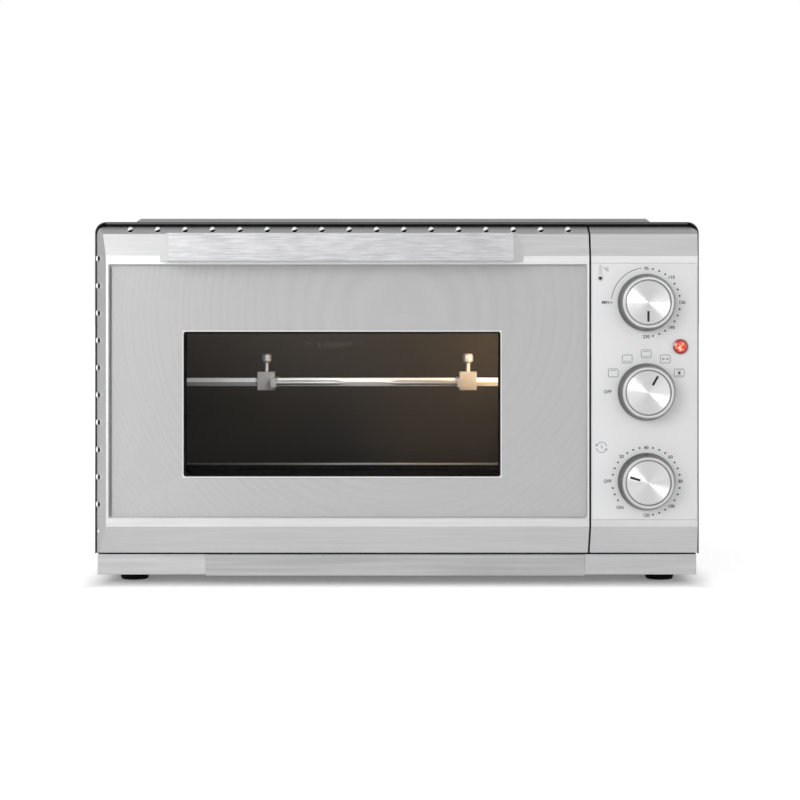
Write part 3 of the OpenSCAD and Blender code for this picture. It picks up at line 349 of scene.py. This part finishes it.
# ---- Glass: a clear pane let into the frame, its back enamelled silver except at the window, which
# has a fine white line round it. A black spacer and a second pane close the door behind it.
def clear_pane(name, tint, gloss):
    material, start = start_finish(name)
    place = start.make("ShaderNodeTexCoord", out="Object")
    smear = start.make("ShaderNodeTexNoise", {}, {"Vector": place, "Scale": 9, "Detail": 3})
    clear = start.make("ShaderNodeBsdfTransparent", {}, {"Color": tint})
    shine = start.make("ShaderNodeBsdfGlossy", {}, {"Color": gloss, "Roughness": 0.05 + 0.01 * smear})
    grazing = start.make("ShaderNodeLayerWeight", {}, {"Blend": 0.5}, "Facing")
    share = 0.04 + 0.9 * start.math("POWER", grazing, 5.0)
    both = start.make("ShaderNodeMixShader", {}, {0: share, 1: clear, 2: shine})
    start.make("ShaderNodeOutputMaterial", {}, {"Surface": both})
    return material


dress(["door_glass"], clear_pane("front_glass", (0.99, 0.99, 0.99), (0.06, 0.06, 0.06)))
dress(["inner_glass", "lamp_cover"], clear_pane("inner_glass", (0.98, 0.98, 0.978), (0.03, 0.03, 0.03)))

window_low, window_high = Vector((-0.1695, 0, 0.088)), Vector((0.0824, 0, 0.2031))


def silver_enamel():
    material, start = start_finish("silver_enamel")
    place = start.make("ShaderNodeTexCoord", out="Object")
    x, y, z = place.split()
    middle, half = (window_low + window_high) / 2, (window_high - window_low) / 2
    away = start.math("MAXIMUM", abs(x - middle.x) - half.x, abs(z - middle.z) - half.z)
    # Painted light: the silver is lightest at the lower left and is darkened towards the right and towards the
    # top, as the light falls across the glass.
    painted_shade_right = x.between(-0.23, -0.09)
    low = z.between(0.04, 0.26)
    fleck = start.make("ShaderNodeTexNoise", {}, {"Vector": place, "Scale": 60, "Detail": 1})
    tone = (painted_shade_right * 0.55 + low * 0.4 + fleck * 0.05).blend((0.7, 0.7, 0.702), (0.63, 0.63, 0.63))
    return close_finish(material, start, {
        "Base Color": away.between(0.0008, 0.0011).blend((0.95, 0.95, 0.95), tone),
        "Metallic": 0.15, "Roughness": 0.4 + 0.04 * fleck})


dress(["glass_mask"], silver_enamel())
dress(["window_spacer"], moulded("spacer_black", (0.003, 0.003, 0.003), 0.003, 0.6, 0.12))


# ---- Handle: a scoop pressed from one sheet, with a brushed front plate and two flared, satin
# white ends. Two screws hold it from inside the door.
plate_low, plate_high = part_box("door_handle")


def handle_steel():
    material, start = start_finish("handle_steel")
    place = start.make("ShaderNodeTexCoord", out="Object")
    x, y, z = place.split()
    lay = start.vector("MULTIPLY", place, (1 / 0.016, 1 / 0.0006, 1 / 0.0006))
    streak = start.make("ShaderNodeTexNoise", {}, {"Vector": lay, "Scale": 1, "Detail": 3})
    patch = start.make("ShaderNodeTexNoise", {}, {"Vector": place, "Scale": 45, "Detail": 2})
    middle, half = (plate_low.x + plate_high.x) / 2, (plate_high.x - plate_low.x) / 2
    end = abs(x - middle).between(half - 0.0090, half - 0.0084)
    brushed = (streak * 0.75 + patch * 0.25).between(0.3, 0.7).blend((0.5, 0.5, 0.515), (0.72, 0.72, 0.735))
    relief = start.make("ShaderNodeBump", {}, {
        "Strength": 0.3, "Distance": 0.00006, "Height": streak,
        "Normal": start.make("ShaderNodeBevel", {"samples": 4}, {"Radius": 0.0005})})
    return close_finish(material, start, {
        "Base Color": end.blend(brushed, (0.8, 0.8, 0.8)), "Metallic": 1 - 0.75 * end,
        "Roughness": 0.3 + 0.15 * end + 0.12 * (streak - 0.5), "Normal": relief})


dress(["door_handle"], handle_steel())


# ---- Control panel: a housing with the door's profile and a pale printed plate let into it. The
# scales, symbols and numbers are printed on the plate in dark grey.
dress(["control_fascia"], frame_steel)


def pale_plate():
    material, start = start_finish("pale_plate")
    place = start.make("ShaderNodeTexCoord", out="Object")
    x, y, z = place.split()
    grit = start.make("ShaderNodeTexNoise", {}, {"Vector": place, "Scale": 1100, "Detail": 2})
    plate_from, plate_across = 0.154, 0.085
    # Painted shade: the plate's colour darkens from its left edge towards the right, away from the lamp.
    painted_falloff = (x - plate_from) / plate_across
    relief = start.make("ShaderNodeBump", {}, {"Strength": 0.1, "Distance": 0.00004, "Height": grit})
    return close_finish(material, start, {
        "Base Color": (painted_falloff * 0.8 + grit * 0.2).blend((0.86, 0.86, 0.865), (0.8, 0.8, 0.805)),
        "Metallic": 0.25, "Roughness": 0.42 + 0.08 * grit, "Normal": relief})


dress(["control_overlay"], pale_plate())
plate_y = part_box("control_overlay")[0].y
ink_y = plate_y - 0.00006


def dot(ink, x, z, r):
    bmesh.ops.create_circle(ink, cap_ends=True, segments=20, radius=r,
                            matrix=Matrix.Translation((x, ink_y, z)) @ Matrix.Rotation(math.pi / 2, 4, "X"))


def stroke(ink, points, width):
    """A printed line through points in X and Z, with its corners mitred."""
    closed = points[0] == points[-1]
    path = [Vector(p) for p in (points[:-1] if closed else points)]
    left, right = [], []
    for k, p in enumerate(path):
        back = path[k - 1] if k or closed else p - (path[1] - p)
        on = path[(k + 1) % len(path)] if k + 1 < len(path) or closed else p + (p - path[-2])
        a, b = (p - back).normalized(), (on - p).normalized()
        side = Vector((-a.y - b.y, a.x + b.x)) * (width / 2 / (1 + a.dot(b)))
        left.append(ink.verts.new((p.x + side.x, ink_y, p.y + side.y)))
        right.append(ink.verts.new((p.x - side.x, ink_y, p.y - side.y)))
    for k in range(len(path) if closed else len(path) - 1):
        n = (k + 1) % len(path)
        ink.faces.new((left[k], right[k], right[n], left[n]))


def word(ink, text, x, z, size):
    """A word or a number in a plain face, middled on a point."""
    cut = bpy.data.curves.new("word", "FONT")
    cut.body, cut.size, cut.align_x, cut.align_y = text, size, "CENTER", "CENTER"
    cut.resolution_u, cut.offset = 3, 0.00007
    holder = bpy.data.objects.new("word", cut)
    shape = holder.to_mesh()
    shape.transform(Matrix.Translation((x, ink_y, z)) @ Matrix.Rotation(math.pi / 2, 4, "X"))
    ink.from_mesh(shape)
    holder.to_mesh_clear()
    bpy.data.objects.remove(holder)
    bpy.data.curves.remove(cut)


def on_scale(middle, degrees, r):
    """The point at that clock angle and radius round a dial."""
    return middle[0] + r * math.sin(math.radians(degrees)), middle[1] + r * math.cos(math.radians(degrees))


def plate_ink(name, colour, lift):
    material, start = start_finish(name)
    place = start.make("ShaderNodeTexCoord", out="Object")
    wear = start.make("ShaderNodeTexNoise", {}, {"Vector": place, "Scale": 2400, "Detail": 2})
    return close_finish(material, start, {
        "Base Color": wear.between(0.3, 0.8).blend(colour, [c + lift for c in colour]),
        "Roughness": 0.5 + 0.1 * wear})


dark_ink = plate_ink("dark_ink", (0.012, 0.012, 0.013), 0.02)
dials = {}
for name in ("thermostat", "function", "timer"):
    low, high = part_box(name + "_cap")
    dials[name] = ((low.x + high.x) / 2, (low.z + high.z) / 2)
tall = 0.0036
scale_r = 0.027

heat = bmesh.new()
place = dials["thermostat"]
for text, degrees, out in (("70", 0, 0.0268), ("110", 45, 0.0282), ("150", 90, 0.0284),
                           ("190", 135, 0.0282), ("230", 180, 0.0272)):
    word(heat, text, *on_scale(place, degrees, out), tall)
word(heat, "MIN", *on_scale(place, -90, 0.0322), tall * 0.94)
dot(heat, *on_scale(place, -90, 0.0277), 0.00062)
for k in range(16):
    if k % 4:
        dot(heat, *on_scale(place, k * 11.25, scale_r), 0.00074)
stroke(heat, [on_scale(place, -84 + k * 3.04, 0.0275) for k in range(26)], 0.00042)
# thermometer: a dashed stem, a filled bulb in a ring, and the degree sign
stem_x = place[0] - 0.0363
for k in range(4):
    dot(heat, stem_x, place[1] + 0.0226 + k * 0.0017, 0.0003)
dot(heat, stem_x, place[1] + 0.0193, 0.0014)
stroke(heat, [(stem_x - 0.0011, place[1] + 0.0215), (stem_x - 0.0011, place[1] + 0.0285),
              (stem_x, place[1] + 0.0297), (stem_x + 0.0011, place[1] + 0.0285),
              (stem_x + 0.0011, place[1] + 0.0215)], 0.00022)
stroke(heat, [(stem_x + 0.0021 * math.cos(a), place[1] + 0.0193 + 0.0021 * math.sin(a))
              for a in [math.radians(122 + k * 14.8) for k in range(21)]], 0.00022)
word(heat, "°C", stem_x + 0.0046, place[1] + 0.0262, 0.0036)
piece("thermostat_scale", heat, dark_ink, "cabinet")

modes = bmesh.new()
place = dials["function"]
word(modes, "OFF", *on_scale(place, -90, 0.0306), tall)
grey_ink = plate_ink("grey_ink", (0.05, 0.05, 0.052), 0.03)
for k in range(5):
    x, z = on_scale(place, -60 + 30 * k, 0.0302)
    w, h, r = 0.0039, 0.0032, 0.0012
    box_line = []
    for cx, cz, start_deg in ((w, h, 0), (-w, h, 90), (-w, -h, 180), (w, -h, 270)):
        sx, sz = math.copysign(w - r, cx), math.copysign(h - r, cz)
        box_line += [(x + sx + r * math.cos(math.radians(start_deg + a)),
                      z + sz + r * math.sin(math.radians(start_deg + a))) for a in (0, 30, 60, 90)]
    stroke(modes, box_line + box_line[:1], 0.00036)
    if k == 0:
        stroke(modes, [(x - 0.0024, z + 0.0019), (x + 0.0024, z + 0.0019)], 0.00032)
    if k in (1, 2):
        for step in (-2, -1, 0, 1, 2):
            dot(modes, x + step * 0.0011, z - 0.0018, 0.0003)
    if k == 2:
        stroke(modes, [(x - 0.0024, z + 0.0018), (x + 0.0024, z + 0.0018)], 0.00032)
    if k == 3:
        stroke(modes, [(x - 0.0024, z), (x + 0.0024, z)], 0.00032)
        for s in (-1, 1):
            barb, tip = x + s * 0.0013, x + s * 0.0026
            stroke(modes, [(barb, z + 0.001), (tip, z), (barb, z - 0.001)], 0.00034)
    if k == 4:
        dot(modes, x, z, 0.00115)
        stroke(modes, [(x - 0.0024, z + 0.0021), (x + 0.0024, z + 0.0021)], 0.0003)
        stroke(modes, [(x - 0.0024, z - 0.0021), (x + 0.0024, z - 0.0021)], 0.0003)
piece("function_scale", modes, grey_ink, "cabinet")

minutes = bmesh.new()
place = dials["timer"]
for text, degrees, out in (("20", -45, 0.0278), ("40", 0, 0.0266), ("60", 45, 0.0272),
                           ("80", 90, 0.0272), ("100", 135, 0.028), ("120", 180, 0.027),
                           ("OFF", -90, 0.0306), ("ON", -135, 0.0294)):
    word(minutes, text, *on_scale(place, degrees, out), tall)
for k in range(-12, 16):
    if k % 4:
        dot(minutes, *on_scale(place, k * 11.25, scale_r), 0.00074)
# clock: a ring broken by two arrow heads, and two hands
x, z = place[0] - 0.0355, place[1] + 0.0270
for turn in (0, 180):
    arc = [math.radians(turn + 8 + k * 7.6) for k in range(21)]
    stroke(minutes, [(x + 0.0041 * math.cos(a), z + 0.0041 * math.sin(a)) for a in arc], 0.00032)
    tip = Vector((x + 0.0041 * math.cos(arc[-1]), z + 0.0041 * math.sin(arc[-1])))
    on = Vector((-math.sin(arc[-1]), math.cos(arc[-1])))
    out = Vector((math.cos(arc[-1]), math.sin(arc[-1])))
    stroke(minutes, [tuple(tip - on * 0.0007 + out * 0.0010), tuple(tip + on * 0.0004),
                     tuple(tip - on * 0.0007 - out * 0.0010)], 0.00034)
stroke(minutes, [(x, z + 0.0022), (x, z), (x + 0.0015, z - 0.0007)], 0.00032)
piece("timer_scale", minutes, dark_ink, "cabinet")


# ---- Pilot lamp: a domed red jewel with a faceted back, pressed through the plate into its holder.
jewel_low, jewel_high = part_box("indicator_lens")
jewel_at = (jewel_low + jewel_high) / 2


def red_jewel():
    material, start = start_finish("red_jewel")
    place = start.make("ShaderNodeTexCoord", out="Object")
    near = start.vector("SUBTRACT", place, (jewel_at.x, jewel_low.y, jewel_at.z))
    jewel_r = 0.0059
    out = start.vector("LENGTH", near, out=1) / jewel_r
    facet = start.make("ShaderNodeTexVoronoi", {}, {"Vector": near, "Scale": 620}, "Color").split()[0]
    # Painted highlight: bright facets near the middle are painted into the colour and the glow. The dome's colour
    # darkens towards its rim as painted shade.
    painted_glint = (1 - out.between(0.25, 0.85)) * facet.between(0.5, 0.75)
    body = out.between(0.55, 1.0).blend((0.6, 0.035, 0.012), (0.16, 0.008, 0.006))
    return close_finish(material, start, {
        "Base Color": painted_glint.blend(body, (1, 0.62, 0.42)), "Roughness": 0.08, "Coat Weight": 1,
        "Coat Roughness": 0.03, "Emission Color": painted_glint.blend(body, (1, 0.55, 0.3)),
        "Emission Strength": 0.4})


dress(["indicator_lens"], red_jewel())


# ---- Knobs: turned aluminium shells with a grooved side, coloured dark as painted shade and painted
# reflection, and a bright rim. A spun disc is set into each face, its edge darkened as painted shade in
# the groove, and its pointer is a slot filled with black enamel.
def turned_metal(name, middle, tone_and_shade_bands, groove, tilt, rough, metal=1.0):
    """Metal cut on a lathe round a dial's axis. The stops given by radius in metres set its tone, and some of
    them are painted shade.
    """
    material, start = start_finish(name)
    place = start.make("ShaderNodeTexCoord", out="Object")
    near = start.vector("MULTIPLY", start.vector("SUBTRACT", place, (middle[0], 0, middle[1])), (1, 0, 1))
    out = start.vector("LENGTH", near, out=1)
    cut = start.math("SINE", out * (2 * math.pi / groove))
    away = start.vector("NORMALIZE", near)
    lean = start.make("ShaderNodeVectorMath", {"operation": "SCALE"}, {0: away, "Scale": cut * tilt})
    lean = start.make("ShaderNodeVectorTransform", {
        "vector_type": "VECTOR", "convert_from": "OBJECT", "convert_to": "WORLD"}, {0: lean})
    smooth = start.make("ShaderNodeBevel", {"samples": 4}, {"Radius": 0.0003})
    normal = start.vector("NORMALIZE", start.vector("ADD", smooth, lean))
    tone = start.make("ShaderNodeValToRGB", {"stops": [(r / 0.025, (t, t, t)) for r, t in tone_and_shade_bands]},
                              {0: out / 0.025})
    return close_finish(material, start, {
        "Base Color": tone, "Metallic": metal, "Roughness": rough + 0.05 * abs(cut), "Normal": normal})


for name, turn in (("thermostat", 180), ("function", 30), ("timer", -73)):
    middle = dials[name]
    # Painted shade and painted reflection: the knob's side, from about 20.6 mm out, is coloured near black.
    dress([name + "_knob"], turned_metal(name + "_knob_metal", middle, [
        (0.0, 0.3), (0.0180, 0.3), (0.0183, 0.82), (0.0202, 0.8), (0.0206, 0.12), (0.0227, 0.04)],
        0.0009, 0.06, 0.24))
    # Painted shade: the spun disc darkens at its edge, standing in for the shadow in the groove round it.
    dress([name + "_cap"], turned_metal(name + "_spun_disc", middle, [
        (0.0, 0.84), (0.0165, 0.84), (0.0172, 0.56), (0.0175, 0.45)], 0.00042, 0.38, 0.2))
    face_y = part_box(name + "_cap")[0].y
    bar = bmesh.new()
    side, inner, outer, nip = 0.00086, 0.0067, 0.0149, 0.0002
    outline = [(-side, inner + nip), (-side + nip, inner), (side - nip, inner), (side, inner + nip),
               (side, outer - nip), (side - nip, outer), (-side + nip, outer), (-side, outer - nip)]
    rows = []
    across, along = math.cos(math.radians(turn)), math.sin(math.radians(turn))
    for y in (face_y + 0.00003, face_y + 0.00028):
        rows.append([bar.verts.new((middle[0] + u * across + v * along, y, middle[1] - u * along + v * across))
                     for u, v in outline])
    bar.faces.new(rows[0])
    bar.faces.new(rows[1][::-1])
    for k in range(8):
        bar.faces.new((rows[0][k], rows[1][k], rows[1][(k + 1) % 8], rows[0][(k + 1) % 8]))
    piece(name + "_pointer", bar, plate_ink(name + "_enamel", (0.008, 0.008, 0.008), 0.012),
          name + "_dial")


# ---- Roasting space: a folded box in dark speckled enamel with ledges on both walls, and a shallow
# drip tray with a rolled rim, coloured bright as a painted highlight, that hangs on the lowest pair.
def enamel(name, colour, fleck_colour, rough, painted_light_strength=1.0):
    """Fired enamel with pale flecks. Its last argument sets painted light that lifts the tone high on the left.
    """
    material, start = start_finish(name)
    place = start.make("ShaderNodeTexCoord", out="Object")
    x, y, z = place.split()
    # Painted light: the enamel's tone is lifted high on the left, where the lamps light the back wall.
    painted_light_gain = 1 + painted_light_strength * (1 - x.between(-0.17, 0.05)) * z.between(0.12, 0.22)
    speck = start.make("ShaderNodeTexNoise", {}, {"Vector": place, "Scale": 900, "Detail": 2})
    fleck = speck.between(0.62, 0.7)
    orange_peel = start.make("ShaderNodeTexNoise", {}, {"Vector": place, "Scale": 260, "Detail": 2})
    relief = start.make("ShaderNodeBump", {}, {"Strength": 0.2, "Distance": 0.0001, "Height": orange_peel})
    return close_finish(material, start, {
        "Base Color": start.vector("MULTIPLY", fleck.blend(colour, fleck_colour), start.make(
            "ShaderNodeCombineXYZ", {}, {0: painted_light_gain, 1: painted_light_gain, 2: painted_light_gain})),
        "Specular IOR Level": 0.2, "Roughness": rough + 0.15 * (orange_peel - 0.5), "Normal": relief})


dress(["oven_cavity", "tray_runners"], enamel(
    "cavity_enamel", (0.034, 0.034, 0.034), (0.075, 0.075, 0.075), 0.5, 1.6))
dress(["drip_tray"], enamel("tray_enamel", (0.002, 0.002, 0.002), (0.005, 0.005, 0.005), 0.6, 0))
steel = satin_coat("turned_steel", (0.52, 0.51, 0.5), (0.7, 0.69, 0.68), 0.26, 1)
tray_low, tray_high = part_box("drip_tray")
rim = bmesh.new()
rings = []
roll_r = 0.0011
roll_y, roll_z = tray_high.y - 0.0009, tray_high.z + 0.0009
for x in (tray_low.x + 0.001, tray_high.x - 0.001):
    rings.append([rim.verts.new((x, roll_y + roll_r * math.cos(a), roll_z + roll_r * math.sin(a)))
                  for a in [k * math.pi / 8 for k in range(16)]])
for k in range(16):
    rim.faces.new((rings[0][k], rings[1][k], rings[1][(k + 1) % 16], rings[0][(k + 1) % 16])).smooth = True
rim.faces.new(rings[0])
rim.faces.new(rings[1][::-1])
# Painted highlight: the rolled rim is coloured near white so it reads as the line of light along the tray's edge.
piece("tray_rim", rim, satin_coat("rim_painted_highlight", (0.8, 0.8, 0.8), (0.88, 0.88, 0.88), 0.5, 0.5),
      "cabinet")


# ---- Heating rods: steel tubes darkened by heat, carried through the walls in ceramic collars.
def burnt_rod():
    material, start = start_finish("burnt_rod")
    place = start.make("ShaderNodeTexCoord", out="Object")
    scorch = start.make("ShaderNodeTexNoise", {}, {"Vector": place, "Scale": 45, "Detail": 5})
    return close_finish(material, start, {
        "Base Color": scorch.between(0.3, 0.7).blend((0.12, 0.105, 0.095), (0.3, 0.27, 0.24)),
        "Metallic": 0.8, "Roughness": 0.42 + 0.2 * scorch})


dress(["upper_elements", "lower_elements"], burnt_rod())
dress(["element_insulators", "terminal_block", "thermostat_unit"],
      satin_coat("glazed_ceramic", (0.74, 0.72, 0.66), (0.84, 0.82, 0.77), 0.35, 0, 500))


# ---- Oven lamp: a capsule bulb behind a clear cover in the right wall, with a warm light. A second,
# white lamp over the opening, out of sight, stands for what the bright room throws on the spit.
def warm_bulb():
    material, start = start_finish("warm_bulb")
    place = start.make("ShaderNodeTexCoord", out="Object")
    haze = start.make("ShaderNodeTexNoise", {}, {"Vector": place, "Scale": 90, "Detail": 2})
    return close_finish(material, start, {
        "Base Color": haze.blend((0.9, 0.84, 0.7), (1, 0.93, 0.8)), "Roughness": 0.3,
        "Emission Color": haze.blend((1, 0.62, 0.3), (1, 0.72, 0.42)), "Emission Strength": 1.5})


dress(["lamp_bulb"], warm_bulb())
lamp_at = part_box("lamp_cover")[0]
softbox("oven_lamp", (lamp_at.x - 0.006, -0.06, 0.203), (lamp_at.x - 0.05, 0.14, 0.19),
        0.03, 0.55, (1, 0.66, 0.36))
softbox("cavity_fill", (-0.05, -0.13, 0.236), (-0.05, 0.0, 0.15), 0.11, 0.34)


# ---- Spit: a square plated rod with a round neck, which sits in a bracket at the left and in the
# drive's socket at the right. Two forks slide on it and thumb screws clamp them.
spit_low, spit_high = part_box("spit_rod")
spit_mid = (spit_low.z + spit_high.z) / 2


def spit_plate():
    """Bright plating, coloured dark on the lower half as painted shade under the lit top."""
    material, start = start_finish("spit_plate")
    place = start.make("ShaderNodeTexCoord", out="Object")
    cloud = start.make("ShaderNodeTexNoise", {}, {"Vector": place, "Scale": 160, "Detail": 3})
    # Painted light and shade: the rod's upper half is coloured bright and its lower half dark grey, as light from
    # above would fall.
    upper = place.split()[2].between(spit_mid - 0.0002, spit_mid + 0.0002)
    return close_finish(material, start, {
        "Base Color": (upper * 0.85 + cloud * 0.15).blend((0.24, 0.24, 0.24), (0.96, 0.96, 0.96)),
        "Metallic": 0.3, "Roughness": 0.3 + 0.1 * cloud,
        "Normal": start.make("ShaderNodeBevel", {"samples": 4}, {"Radius": 0.0004})})


dress(["spit_rod"], spit_plate())
dress(["left_fork", "right_fork", "left_fork_screw", "right_fork_screw", "drive_socket", "spit_support"],
      satin_coat("fork_plate", (0.32, 0.318, 0.314), (0.45, 0.447, 0.44), 0.4, 0.6))


# ---- Hidden works: the spit's motor and gearbox, the dials' units, shafts, hinge parts and screws.
dress(["thermostat_shaft", "function_shaft", "timer_shaft", "hinge_pins", "hinge_springs", "handle_screws",
       "door_screws", "casing_screws", "foot_screws"], steel)
dress(["spit_gearbox", "spit_motor"],
      satin_coat("motor_zinc", (0.6, 0.59, 0.55), (0.72, 0.71, 0.66), 0.38, 0.9))
dress(["timer_unit", "timer_bell"], satin_coat("brass", (0.66, 0.48, 0.2), (0.78, 0.6, 0.28), 0.28, 1))
